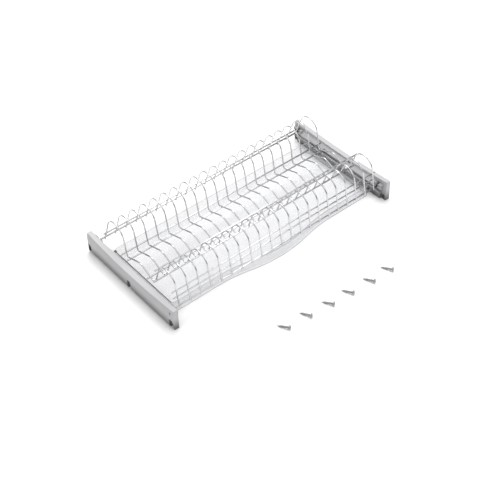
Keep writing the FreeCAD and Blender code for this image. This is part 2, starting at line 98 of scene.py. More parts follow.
# ------------------------------------------------------------------ node helpers
class MaterialSketch:
    """A new node material with its shader and object coordinates at hand."""

    def __init__(self, name: str) -> None:
        """Start a material.

        Args:
            name: Name of the material.
        """
        self.material = bpy.data.materials.new(name)
        self.material.use_nodes = True
        self.nodes = self.material.node_tree.nodes
        self.links = self.material.node_tree.links
        self.shader = self.nodes["Principled BSDF"]
        self.place = self.nodes.new("ShaderNodeTexCoord").outputs["Object"]

    def stretched(self, scale: Sequence[float]) -> bpy.types.NodeSocket:
        """Object coordinates scaled by axis.

        Args:
            scale: Factor along each axis.

        Returns:
            The vector output.
        """
        node = self.nodes.new("ShaderNodeMapping")
        node.inputs["Scale"].default_value = scale
        self.links.new(self.place, node.inputs["Vector"])
        return node.outputs["Vector"]

    def noise(self, scale: float, detail: float, vector: bpy.types.NodeSocket) -> bpy.types.NodeSocket:
        """Noise value over the surface.

        Args:
            scale: Noise scale, per metre.
            detail: Octaves of detail.
            vector: Coordinates to read.

        Returns:
            The value output.
        """
        node = self.nodes.new("ShaderNodeTexNoise")
        node.inputs["Scale"].default_value = scale
        node.inputs["Detail"].default_value = detail
        self.links.new(vector, node.inputs["Vector"])
        return node.outputs["Fac"]

    def remap(self, value: bpy.types.NodeSocket, low: float, high: float) -> bpy.types.NodeSocket:
        """Spread the middle of a noise over a range.

        Args:
            value: Noise output.
            low: Result where the noise is low.
            high: Result where the noise is high.

        Returns:
            The remapped output.
        """
        node = self.nodes.new("ShaderNodeMapRange")
        node.inputs["From Min"].default_value = NOISE_LOW
        node.inputs["From Max"].default_value = NOISE_HIGH
        node.inputs["To Min"].default_value = low
        node.inputs["To Max"].default_value = high
        self.links.new(value, node.inputs["Value"])
        return node.outputs["Result"]

    def blend(
        self,
        factor: bpy.types.NodeSocket,
        first: Colour,
        second: Colour | bpy.types.NodeSocket,
    ) -> bpy.types.NodeSocket:
        """Blend a colour into a second colour or into a pattern.

        Args:
            factor: Share of the second colour.
            first: First colour, red green blue.
            second: Second colour, or the output that carries its pattern.

        Returns:
            The colour output.
        """
        node = self.nodes.new("ShaderNodeMix")
        node.data_type = "RGBA"
        self.links.new(factor, node.inputs[0])
        node.inputs[MIX_FIRST].default_value = (*first, 1.0)
        if isinstance(second, bpy.types.NodeSocket):
            self.links.new(second, node.inputs[MIX_SECOND])
        else:
            node.inputs[MIX_SECOND].default_value = (*second, 1.0)
        return node.outputs[MIX_RESULT]

    def height_share(self, top: float) -> bpy.types.NodeSocket:
        """Height over the floor as a share of a full height.

        Args:
            top: Height that counts as one, in metres.

        Returns:
            The share, 0 at the floor and 1 at the top.
        """
        split = self.nodes.new("ShaderNodeSeparateXYZ")
        self.links.new(self.place, split.inputs["Vector"])
        share = self.nodes.new("ShaderNodeMapRange")
        share.interpolation_type = "SMOOTHSTEP"
        share.inputs["From Max"].default_value = top
        self.links.new(split.outputs["Z"], share.inputs["Value"])
        return share.outputs["Result"]

    def bump(self, height: bpy.types.NodeSocket, strength: float, depth: float) -> None:
        """Raise the surface by a height.

        Args:
            height: Height field, 0 to 1.
            strength: Strength of the bump.
            depth: Height of the bump in metres.
        """
        node = self.nodes.new("ShaderNodeBump")
        node.inputs["Strength"].default_value = strength
        node.inputs["Distance"].default_value = depth
        self.links.new(height, node.inputs["Height"])
        self.links.new(node.outputs["Normal"], self.shader.inputs["Normal"])

    def drive(self, name: str, output: bpy.types.NodeSocket) -> None:
        """Link an output to a socket of the shader."""
        self.links.new(output, self.shader.inputs[name])

    def fix(self, **values: float) -> None:
        """Set plain numbers on the shader, by socket name with underscores."""
        for name, value in values.items():
            self.shader.inputs[name.replace("_", " ")].default_value = value


# ---------------------------------------------------------------------- finishes
@dataclass(frozen=True)
class PolishedWire:
    """Bright drawn steel wire with a thin polish."""

    name: str = "polished_wire"
    bright: Colour = (0.69, 0.69, 0.70)
    dull: Colour = (0.54, 0.54, 0.55)
    roughness: tuple[float, float] = (0.10, 0.22)
    tarnish_scale: float = 28.0
    draw_scale: float = 1400.0
    draw_stretch: tuple[float, float, float] = (1.0, 0.2, 0.2)

    def build(self) -> bpy.types.Material:
        """Make the material.

        Returns:
            The finished material.
        """
        sketch = MaterialSketch(self.name)
        tarnish = sketch.noise(self.tarnish_scale, detail=4.0, vector=sketch.place)
        sketch.drive("Base Color", sketch.blend(tarnish, self.bright, self.dull))
        marks = sketch.noise(self.draw_scale, detail=3.0, vector=sketch.stretched(self.draw_stretch))
        sketch.drive("Roughness", sketch.remap(marks, *self.roughness))
        sketch.bump(marks, strength=0.25, depth=0.02 * MM)
        sketch.fix(Metallic=1.0)
        return sketch.material


@dataclass(frozen=True)
class WeldMetal:
    """Duller, slightly darkened metal of a resistance weld."""

    name: str = "weld_metal"
    bright: Colour = (0.50, 0.50, 0.51)
    dull: Colour = (0.30, 0.30, 0.30)
    roughness: tuple[float, float] = (0.28, 0.42)
    grain_scale: float = 700.0

    def build(self) -> bpy.types.Material:
        """Make the material.

        Returns:
            The finished material.
        """
        sketch = MaterialSketch(self.name)
        grain = sketch.noise(self.grain_scale, detail=3.0, vector=sketch.place)
        sketch.drive("Base Color", sketch.blend(grain, self.bright, self.dull))
        sketch.drive("Roughness", sketch.remap(grain, *self.roughness))
        sketch.bump(grain, strength=0.5, depth=0.08 * MM)
        sketch.fix(Metallic=1.0)
        return sketch.material


@dataclass(frozen=True)
class MouldedPlastic:
    """Satin moulded plastic with a fine grain, with painted shade that darkens it towards the floor."""

    name: str
    light: Colour
    dark: Colour
    painted_shade_colour: Colour = (0.095, 0.095, 0.098)
    painted_shade_height: float = 31.0
    roughness: tuple[float, float] = (0.34, 0.46)
    grain_scale: float = 2600.0
    flow_scale: float = 9.0
    flow_stretch: tuple[float, float, float] = (1.0, 0.35, 1.6)

    def build(self) -> bpy.types.Material:
        """Make the material.

        Returns:
            The finished material.
        """
        sketch = MaterialSketch(self.name)
        flow = sketch.noise(self.flow_scale, detail=5.0, vector=sketch.stretched(self.flow_stretch))
        body = sketch.blend(flow, self.light, self.dark)
        # Painted shade: the colour fades into a dark grey towards the floor, in place of the shade low
        # down on the part.
        height = sketch.height_share(self.painted_shade_height * MM)
        sketch.drive("Base Color", sketch.blend(height, self.painted_shade_colour, body))
        grain = sketch.noise(self.grain_scale, detail=2.0, vector=sketch.place)
        sketch.drive("Roughness", sketch.remap(grain, *self.roughness))
        sketch.bump(grain, strength=0.3, depth=0.05 * MM)
        sketch.fix(Coat_Weight=0.08, Coat_Roughness=0.25)
        return sketch.material


@dataclass(frozen=True)
class ClearPlastic:
    """Clear glossy plastic, a little milky where it is seen edge on."""

    name: str = "clear_plastic"
    face: Colour = (0.69, 0.69, 0.73)
    edge: Colour = (0.60, 0.62, 0.65)
    alpha: float = 0.15
    roughness: tuple[float, float] = (0.05, 0.12)
    rim_blend: float = 0.35
    wave_scale: float = 16.0

    def build(self) -> bpy.types.Material:
        """Make the material.

        Returns:
            The finished material.
        """
        sketch = MaterialSketch(self.name)
        rim = sketch.nodes.new("ShaderNodeLayerWeight")
        rim.inputs["Blend"].default_value = self.rim_blend
        sketch.drive("Base Color", sketch.blend(rim.outputs["Facing"], self.face, self.edge))
        wave = sketch.noise(self.wave_scale, detail=2.0, vector=sketch.place)
        sketch.drive("Roughness", sketch.remap(wave, *self.roughness))
        sketch.bump(wave, strength=0.15, depth=0.4 * MM)
        sketch.fix(Alpha=self.alpha, IOR=1.49)
        return sketch.material


@dataclass(frozen=True)
class ZincPlate:
    """Clear zinc plating with a mottled spangle."""

    name: str = "zinc_plate"
    bright: Colour = (0.46, 0.47, 0.46)
    dull: Colour = (0.22, 0.23, 0.22)
    roughness: tuple[float, float] = (0.22, 0.38)
    spangle_scale: float = 900.0

    def build(self) -> bpy.types.Material:
        """Make the material.

        Returns:
            The finished material.
        """
        sketch = MaterialSketch(self.name)
        spangle = sketch.noise(self.spangle_scale, detail=4.0, vector=sketch.place)
        sketch.drive("Base Color", sketch.blend(spangle, self.bright, self.dull))
        sketch.drive("Roughness", sketch.remap(spangle, *self.roughness))
        sketch.bump(spangle, strength=0.2, depth=0.02 * MM)
        sketch.fix(Metallic=1.0)
        return sketch.material


@dataclass(frozen=True)
class PaleFloor:
    """Smooth white studio floor."""

    name: str = "pale_floor"
    colour: Colour = (0.93, 0.93, 0.93)
    roughness: tuple[float, float] = (0.72, 0.80)
    mottle_scale: float = 3.0

    def build(self) -> bpy.types.Material:
        """Make the material.

        Returns:
            The finished material.
        """
        sketch = MaterialSketch(self.name)
        sketch.shader.inputs["Base Color"].default_value = (*self.colour, 1.0)
        mottle = sketch.noise(self.mottle_scale, detail=2.0, vector=sketch.place)
        sketch.drive("Roughness", sketch.remap(mottle, *self.roughness))
        sketch.fix(Specular_IOR_Level=0.1)
        return sketch.material


# ------------------------------------------------------------------ mesh helpers
def object_from(name: str, mesh: bpy.types.Mesh) -> bpy.types.Object:
    """Put a mesh in the scene as an object at the origin.

    Args:
        name: Name of the object.
        mesh: Its mesh.

    Returns:
        The new object.
    """
    made = bpy.data.objects.new(name, mesh)
    bpy.context.scene.collection.objects.link(made)
    return made


def plain_mesh(carrier: bpy.types.Object, name: str) -> bpy.types.Mesh:
    """Turn an object's evaluated result into a plain mesh, and remove the object.

    Args:
        carrier: Object with live modifiers.
        name: Name of the mesh.

    Returns:
        The plain mesh.
    """
    graph = bpy.context.evaluated_depsgraph_get()
    graph.update()
    mesh = bpy.data.meshes.new_from_object(carrier.evaluated_get(graph), depsgraph=graph)
    mesh.name = name
    bpy.data.objects.remove(carrier)
    return mesh


def merged(parts: Sequence[bpy.types.Mesh], name: str) -> bpy.types.Mesh:
    """Join meshes into one.

    Args:
        parts: Meshes to join; each keeps its own material.
        name: Name of the result.

    Returns:
        The joined mesh.
    """
    result = bpy.data.meshes.new(name)
    work = bmesh.new()
    for index, part in enumerate(parts):
        first = len(work.faces)
        work.from_mesh(part)
        work.faces.ensure_lookup_table()
        for face in work.faces[first:]:
            face.material_index = index
        result.materials.append(part.materials[0] if part.materials else None)
    work.to_mesh(result)
    work.free()
    return result


def lathe(name: str, outline: Sequence[Point], steps: int) -> bpy.types.Mesh:
    """Spin an outline of (radius, height) points round Z.

    Args:
        name: Name of the mesh.
        outline: Points from the bottom pole to the top pole; the poles have radius 0.
        steps: Sides of the turned form.

    Returns:
        A closed mesh with outward faces.
    """
    work = bmesh.new()
    rings: list[list[bmesh.types.BMVert]] = []
    for radius, height in outline:
        if radius == 0.0:
            rings.append([work.verts.new((0.0, 0.0, height))])
            continue
        angles = [2 * math.pi * step / steps for step in range(steps)]
        rings.append([
            work.verts.new((radius * math.cos(angle), radius * math.sin(angle), height))
            for angle in angles
        ])
    for low, high in zip(rings, rings[1:]):
        for step in range(steps):
            after = (step + 1) % steps
            corners = [low[step % len(low)], low[after % len(low)]]
            corners += [high[after % len(high)], high[step % len(high)]]
            work.faces.new(list(dict.fromkeys(corners)))
    bmesh.ops.recalc_face_normals(work, faces=work.faces)
    mesh = bpy.data.meshes.new(name)
    work.to_mesh(mesh)
    work.free()
    return mesh


def smooth_by_angle(mesh: bpy.types.Mesh, angle: float = 35.0) -> None:
    """Shade a mesh smooth except across sharp edges.

    Args:
        mesh: Mesh to shade.
        angle: Sharpest angle that stays smooth, in degrees.
    """
    mesh.shade_smooth()
    mesh.set_sharp_from_angle(angle=math.radians(angle))


# ---------------------------------------------------------------- geometry trees
class Tree:
    """A geometry node tree with named inputs, made step by step."""

    def __init__(self, name: str) -> None:
        """Start a tree.

        Args:
            name: Name of the tree.
        """
        self.tree = bpy.data.node_groups.new(name, "GeometryNodeTree")
        self.identifiers: dict[str, str] = {}
        self.declare("Geometry", "NodeSocketGeometry")
        self.tree.interface.new_socket(
            "Geometry", in_out="OUTPUT", socket_type="NodeSocketGeometry"
        )
        self.start = self.tree.nodes.new("NodeGroupInput")
        self.end = self.tree.nodes.new("NodeGroupOutput")

    def declare(self, name: str, kind: str) -> None:
        """Add a named input of a socket type."""
        socket = self.tree.interface.new_socket(name, in_out="INPUT", socket_type=kind)
        self.identifiers[name] = socket.identifier

    def given(self, name: str) -> bpy.types.NodeSocket:
        """Output of the tree's named input."""
        return self.start.outputs[name]

    def step(self, kind: str, **inputs: object) -> bpy.types.Node:
        """Add a node and feed its inputs.

        Args:
            kind: Type of the node.
            inputs: Socket or value by input name, with underscores for blanks.

        Returns:
            The new node.
        """
        node = self.tree.nodes.new(kind)
        for name, value in inputs.items():
            socket = node.inputs[name.replace("_", " ")]
            if isinstance(value, bpy.types.NodeSocket):
                self.tree.links.new(value, socket)
            else:
                socket.default_value = value
        return node

    def close(self, geometry: bpy.types.NodeSocket) -> None:
        """Realize the instances, set the material and end the tree.

        Args:
            geometry: Geometry that the tree has made.
        """
        whole = self.step("GeometryNodeRealizeInstances", Geometry=geometry)
        dressed = self.step(
            "GeometryNodeSetMaterial",
            Geometry=whole.outputs["Geometry"],
            Material=self.given("Material"),
        )
        self.tree.links.new(dressed.outputs["Geometry"], self.end.inputs["Geometry"])

    def apply(self, base: bpy.types.Mesh, name: str, **values: object) -> bpy.types.Mesh:
        """Run the tree on a mesh.

        Args:
            base: Mesh that the tree starts from.
            name: Name of the result.
            values: Value by input name, with underscores for blanks.

        Returns:
            The finished plain mesh.
        """
        carrier = object_from(name + "_carrier", base)
        modifier = carrier.modifiers.new("tree", "NODES")
        modifier.node_group = self.tree
        for key, value in values.items():
            modifier[self.identifiers[key.replace("_", " ")]] = value
        return plain_mesh(carrier, name)


class WireTree(Tree):
    """Sweeps a round wire along a line of points, with a bend at each of them."""

    def __init__(self) -> None:
        """Build the tree."""
        super().__init__("bent_wire")
        self.declare("Wire Radius", "NodeSocketFloat")
        self.declare("Bend Steps", "NodeSocketInt")
        self.declare("Sides", "NodeSocketInt")
        self.declare("Material", "NodeSocketMaterial")
        bend = self.step("GeometryNodeInputNamedAttribute", Name="bend_radius")
        taper = self.step("GeometryNodeInputNamedAttribute", Name="end_taper")
        line = self.step("GeometryNodeMeshToCurve", Mesh=self.given("Geometry"))
        thick = self.step(
            "GeometryNodeSetCurveRadius",
            Curve=line.outputs["Curve"],
            Radius=taper.outputs["Attribute"],
        )
        bent = self.tree.nodes.new("GeometryNodeFilletCurve")
        bent.mode = "POLY"
        self.tree.links.new(thick.outputs["Curve"], bent.inputs["Curve"])
        self.tree.links.new(self.given("Bend Steps"), bent.inputs["Count"])
        self.tree.links.new(bend.outputs["Attribute"], bent.inputs["Radius"])
        ring = self.step(
            "GeometryNodeCurvePrimitiveCircle",
            Resolution=self.given("Sides"),
            Radius=self.given("Wire Radius"),
        )
        spread = self.step("GeometryNodeInputRadius")
        swept = self.step(
            "GeometryNodeCurveToMesh",
            Curve=bent.outputs["Curve"],
            Profile_Curve=ring.outputs["Curve"],
            Scale=spread.outputs["Radius"],
            Fill_Caps=True,
        )
        smooth = self.step("GeometryNodeSetShadeSmooth", Geometry=swept.outputs["Mesh"])
        self.close(smooth.outputs["Geometry"])


class WeldTree(Tree):
    """Sets a small weld nugget where each crossing wire meets each divider."""

    def __init__(self) -> None:
        """Build the tree."""
        super().__init__("weld_rows")
        self.declare("Dividers", "NodeSocketInt")
        self.declare("Pitch", "NodeSocketFloat")
        self.declare("Nugget Radius", "NodeSocketFloat")
        self.declare("Material", "NodeSocketMaterial")
        step = self.step("ShaderNodeCombineXYZ", X=self.given("Pitch"))
        row = self.step(
            "GeometryNodeMeshLine",
            Count=self.given("Dividers"),
            Offset=step.outputs["Vector"],
        )
        rows = self.step(
            "GeometryNodeInstanceOnPoints",
            Points=self.given("Geometry"),
            Instance=row.outputs["Mesh"],
        )
        places = self.step("GeometryNodeRealizeInstances", Geometry=rows.outputs["Instances"])
        nugget = self.step(
            "GeometryNodeMeshUVSphere",
            Segments=10,
            Rings=6,
            Radius=self.given("Nugget Radius"),
        )
        smooth = self.step("GeometryNodeSetShadeSmooth", Geometry=nugget.outputs["Mesh"])
        welds = self.step(
            "GeometryNodeInstanceOnPoints",
            Points=places.outputs["Geometry"],
            Instance=smooth.outputs["Geometry"],
            Scale=(1.25, 1.0, 1.0),
        )
        self.close(welds.outputs["Instances"])


class ThreadTree(Tree):
    """Winds a screw thread round Z and adds it to the shank it is given."""

    def __init__(self) -> None:
        """Build the tree."""
        super().__init__("screw_thread")
        self.declare("Turns", "NodeSocketFloat")
        self.declare("Core Radius", "NodeSocketFloat")
        self.declare("Point Length", "NodeSocketFloat")
        self.declare("Start Height", "NodeSocketFloat")
        self.declare("Length", "NodeSocketFloat")
        self.declare("Ridge", "NodeSocketFloat")
        self.declare("Material", "NodeSocketMaterial")
        coil = self.step(
            "GeometryNodeCurveSpiral",
            Resolution=18,
            Rotations=self.given("Turns"),
            Start_Radius=self.given("Core Radius"),
            End_Radius=self.given("Core Radius"),
            Height=self.given("Length"),
        )
        lift = self.step("ShaderNodeCombineXYZ", Z=self.given("Start Height"))
        raised = self.step(
            "GeometryNodeTransform",
            Geometry=coil.outputs["Curve"],
            Translation=lift.outputs["Vector"],
        )
        ridge = self.step(
            "GeometryNodeCurvePrimitiveCircle", Resolution=4, Radius=self.given("Ridge")
        )
        place = self.step("GeometryNodeInputPosition")
        split = self.step("ShaderNodeSeparateXYZ", Vector=place.outputs["Position"])
        share = self.step(
            "ShaderNodeMapRange",
            Value=split.outputs["Z"],
            From_Max=self.given("Point Length"),
        )
        squeeze = self.step(
            "ShaderNodeCombineXYZ",
            X=share.outputs["Result"],
            Y=share.outputs["Result"],
            Z=1.0,
        )
        drawn = self.tree.nodes.new("ShaderNodeVectorMath")
        drawn.operation = "MULTIPLY"
        self.tree.links.new(place.outputs["Position"], drawn.inputs[0])
        self.tree.links.new(squeeze.outputs["Vector"], drawn.inputs[1])
        pointed = self.step(
            "GeometryNodeSetPosition",
            Geometry=raised.outputs["Geometry"],
            Position=drawn.outputs["Vector"],
        )
        wound = self.step(
            "GeometryNodeCurveToMesh",
            Curve=pointed.outputs["Geometry"],
            Profile_Curve=ridge.outputs["Curve"],
            Fill_Caps=True,
        )
        both = self.tree.nodes.new("GeometryNodeJoinGeometry")
        self.tree.links.new(self.given("Geometry"), both.inputs["Geometry"])
        self.tree.links.new(wound.outputs["Mesh"], both.inputs["Geometry"])
        self.close(both.outputs["Geometry"])


class BeadTree(Tree):
    """Lays a thin round bead along an outline, once at each of two heights."""

    def __init__(self) -> None:
        """Build the tree."""
        super().__init__("tray_beads")
        self.declare("Bead Radius", "NodeSocketFloat")
        self.declare("Rim Height", "NodeSocketFloat")
        self.declare("Base Height", "NodeSocketFloat")
        self.declare("Material", "NodeSocketMaterial")
        line = self.step("GeometryNodeMeshToCurve", Mesh=self.given("Geometry"))
        ring = self.step(
            "GeometryNodeCurvePrimitiveCircle",
            Resolution=8,
            Radius=self.given("Bead Radius"),
        )
        both = self.tree.nodes.new("GeometryNodeJoinGeometry")
        for height in ("Rim Height", "Base Height"):
            lift = self.step("ShaderNodeCombineXYZ", Z=self.given(height))
            raised = self.step(
                "GeometryNodeTransform",
                Geometry=line.outputs["Curve"],
                Translation=lift.outputs["Vector"],
            )
            bead = self.step(
                "GeometryNodeCurveToMesh",
                Curve=raised.outputs["Geometry"],
                Profile_Curve=ring.outputs["Curve"],
            )
            self.tree.links.new(bead.outputs["Mesh"], both.inputs["Geometry"])
        smooth = self.step("GeometryNodeSetShadeSmooth", Geometry=both.outputs["Geometry"])
        self.close(smooth.outputs["Geometry"])


# ------------------------------------------------------------- plane geometry
def heading(angle: float) -> Point:
    """Unit vector at an angle in degrees from +Y towards +Z."""
    return (math.cos(math.radians(angle)), math.sin(math.radians(angle)))


def shifted(point: Point, way: Point, distance: float) -> Point:
    """Point moved along a direction."""
    return (point[0] + way[0] * distance, point[1] + way[1] * distance)


def at_height(point: Point, way: Point, height: float) -> Point:
    """Point at a height on the line through a point."""
    return shifted(point, way, (height - point[1]) / way[1])


def crossing(first: Point, first_way: Point, second: Point, second_way: Point) -> Point:
    """Where two lines meet.

    Args:
        first: Point on the first line.
        first_way: Its direction.
        second: Point on the second line.
        second_way: Its direction.

    Returns:
        The meeting point.
    """
    cross = first_way[0] * second_way[1] - first_way[1] * second_way[0]
    gap = (second[0] - first[0], second[1] - first[1])
    along = (gap[0] * second_way[1] - gap[1] * second_way[0]) / cross
    return shifted(first, first_way, along)


def wire_line(name: str, points: Sequence[Vector], bends: Sequence[float], tip: float) -> bpy.types.Mesh:
    """Line of points that the wire tree bends and sweeps.

    Args:
        name: Name of the mesh.
        points: Ends and corners of the wire, in metres.
        bends: Radius of the bend at each inner point, in metres.
        tip: Length of the rounded tip at both ends, in metres.

    Returns:
        A mesh of edges with a bend radius and a taper at each point.
    """
    first_way = (points[1] - points[0]).normalized()
    last_way = (points[-2] - points[-1]).normalized()
    places = [points[0], points[0] + first_way * tip, *points[1:-1]]
    places += [points[-1] + last_way * tip, points[-1]]
    radii = [0.0, 0.0, *bends, 0.0, 0.0]
    tapers = [TIP_TAPER, *[1.0] * (len(places) - 2), TIP_TAPER]
    mesh = bpy.data.meshes.new(name)
    mesh.from_pydata(places, [(low, low + 1) for low in range(len(places) - 1)], [])
    for label, values in (("bend_radius", radii), ("end_taper", tapers)):
        layer = mesh.attributes.new(label, "FLOAT", "POINT")
        layer.data.foreach_set("value", values)
    return mesh


def box_centre(node: str) -> Vector:
    """Centre of a CAD node's box."""
    low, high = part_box(node)
    return (low + high) / 2


# -------------------------------------------------------------------- wire rack
@dataclass
class WireRack:
    """The welded rack: bent dividers, crossing wires and their welds."""

    finish: bpy.types.Material
    rod_finish: bpy.types.Material
    weld_finish: bpy.types.Material
    divider_count: int = 21
    divider_radius: float = 1.5
    frame_radius: float = 2.0
    weld_sink: float = 0.25
    back_leg_angle: float = 69.5
    front_leg_angle: float = 80.0
    arch_radius: float = 26.5
    back_arch_top: float = 101.1
    middle_arch_top: float = 98.8
    valley_height: float = 36.9
    hump_height: float = 52.0
    hump_share: float = 0.502
    base_height: float = 32.2
    valley_radius: float = 4.0
    hump_radius: float = 18.0
    base_radius: float = 9.0
    leg_end: float = 28.0
    tip_length: float = 0.5
    weld_radius: float = 1.15
    bend_steps: int = 18
    divider_sides: int = 14
    rod_sides: int = 18
    crossing_nodes: tuple[str, ...] = (
        "back_lower_wire",
        "back_upper_wire",
        "valley_leg_wire",
        "valley_rise_wire",
        "base_slope_wire",
        "middle_leg_wire",
        "shoulder_wire",
        "front_upper_wire",
        "front_middle_wire",
        "front_lower_wire",
    )
    outline: list[Point] = field(default_factory=list)

    def place_of(self, node: str) -> Point:
        """Centre of a crossing wire as (y, z) in millimetres."""
        centre = box_centre(node)
        return (centre.y / MM, centre.z / MM)

    def trace(self) -> None:
        """Work out the corners of a divider from the frame wires and the arch sizes."""
        back_up = heading(180.0 - self.back_leg_angle)
        front_up = heading(self.front_leg_angle)
        behind_back = heading(90.0 - self.back_leg_angle)
        ahead_front = heading(90.0 + self.front_leg_angle)
        gap = self.divider_radius + self.frame_radius - self.weld_sink
        outer_back = shifted(self.place_of("back_lower_wire"), behind_back, -gap)
        outer_front = shifted(self.place_of("front_lower_wire"), ahead_front, gap)
        back_centre = at_height(
            shifted(outer_back, behind_back, -self.arch_radius),
            back_up,
            self.back_arch_top - self.arch_radius,
        )
        middle_centre = at_height(
            shifted(outer_front, ahead_front, -self.arch_radius),
            front_up,
            self.middle_arch_top - self.arch_radius,
        )
        inner_back = shifted(back_centre, ahead_front, self.arch_radius)
        inner_middle = shifted(middle_centre, behind_back, self.arch_radius)
        valley = at_height(inner_back, front_up, self.valley_height)
        base = at_height(inner_middle, back_up, self.base_height)
        hump_y = base[0] + self.hump_share * (valley[0] - base[0])
        self.outline = [
            at_height(outer_back, back_up, self.leg_end),
            crossing(outer_back, back_up, inner_back, front_up),
            valley,
            (hump_y, self.hump_height),
            base,
            crossing(inner_middle, back_up, outer_front, front_up),
            at_height(outer_front, front_up, self.leg_end),
        ]

    def bend_radii(self) -> list[float]:
        """Bend radius at each inner corner of a divider.

        Returns:
            The radii in metres, from the back arch to the front one.
        """
        radii = (
            self.arch_radius,
            self.valley_radius,
            self.hump_radius,
            self.base_radius,
            self.arch_radius,
        )
        return [radius * MM for radius in radii]

    def build_dividers(self, tree: WireTree) -> None:
        """Bend and place every divider.

        Args:
            tree: Tree that sweeps a wire.
        """
        for number in range(1, self.divider_count + 1):
            node = f"divider_wire_{number:02d}"
            x = box_centre(node).x
            points = [Vector((x, y * MM, z * MM)) for y, z in self.outline]
            line = wire_line(node + "_line", points, self.bend_radii(), self.tip_length * MM)
            mesh = tree.apply(
                line,
                f"divider_{number:02d}",
                Wire_Radius=self.divider_radius * MM,
                Bend_Steps=self.bend_steps,
                Sides=self.divider_sides,
                Material=self.finish,
            )
            adopt(object_from(mesh.name, mesh), Body.RACK, Slot.WIRE, node)

    def build_crossing_wires(self, tree: WireTree) -> None:
        """Lay every crossing wire where its CAD node lies.

        Args:
            tree: Tree that sweeps a wire.
        """
        for node in self.crossing_nodes:
            low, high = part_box(node)
            centre = (low + high) / 2
            points = [Vector((x, centre.y, centre.z)) for x in (low.x, 0.0, high.x)]
            line = wire_line(node + "_line", points, [0.0], self.tip_length * MM)
            mesh = tree.apply(
                line,
                node.replace("_wire", "_rod"),
                Wire_Radius=(high.z - low.z) / 2,
                Bend_Steps=1,
                Sides=self.rod_sides,
                Material=self.rod_finish,
            )
            adopt(object_from(mesh.name, mesh), Body.RACK, Slot.WIRE, node)

    def nearest_on_outline(self, place: Point) -> Point:
        """Nearest point of the divider's straight runs.

        Args:
            place: Centre of a crossing wire.

        Returns:
            The nearest point, as (y, z).
        """
        best = self.outline[0]
        for start, end in zip(self.outline, self.outline[1:]):
            run = (end[0] - start[0], end[1] - start[1])
            length = math.hypot(*run)
            way = (run[0] / length, run[1] / length)
            along = (place[0] - start[0]) * way[0] + (place[1] - start[1]) * way[1]
            near = shifted(start, way, min(max(along, 0.0), length))
            if math.dist(near, place) < math.dist(best, place):
                best = near
        return best

    def build_welds(self, tree: WeldTree) -> None:
        """Set the weld nuggets between dividers and crossing wires.

        Args:
            tree: Tree that repeats a nugget along the rows.
        """
        first = box_centre("divider_wire_01").x
        pitch = box_centre("divider_wire_02").x - first
        places = []
        for node in self.crossing_nodes:
            centre = self.place_of(node)
            near = self.nearest_on_outline(centre)
            share = self.divider_radius / max(math.dist(near, centre), self.divider_radius)
            y = near[0] + (centre[0] - near[0]) * share
            z = near[1] + (centre[1] - near[1]) * share
            places.append((first, y * MM, z * MM))
        base = bpy.data.meshes.new("weld_places")
        base.from_pydata(places, [], [])
        mesh = tree.apply(
            base,
            "weld_nuggets",
            Dividers=self.divider_count,
            Pitch=pitch,
            Nugget_Radius=self.weld_radius * MM,
            Material=self.weld_finish,
        )
        adopt(object_from(mesh.name, mesh), Body.RACK, Slot.WIRE)

    def build(self) -> None:
        """Make the whole rack."""
        self.trace()
        wires = WireTree()
        self.build_dividers(wires)
        self.build_crossing_wires(wires)
        self.build_welds(WeldTree())


# --------------------------------------------------------- rails, tray and screws
@dataclass
class SideRails:
    """The two moulded side rails and the clips let into them."""

    rail_finish: bpy.types.Material
    clip_finish: bpy.types.Material
    rails: tuple[str, ...] = ("left_rail", "right_rail")
    clips: tuple[str, ...] = (
        "left_front_clip",
        "right_front_clip",
        "left_back_clip",
        "right_back_clip",
    )

    def build(self, frame: dict) -> None:
        """Dress the rails and the clips.
        """
        for names, finish in ((self.rails, self.rail_finish), (self.clips, self.clip_finish)):
            for name in names:
                dress(frame["nodes"][name], finish)


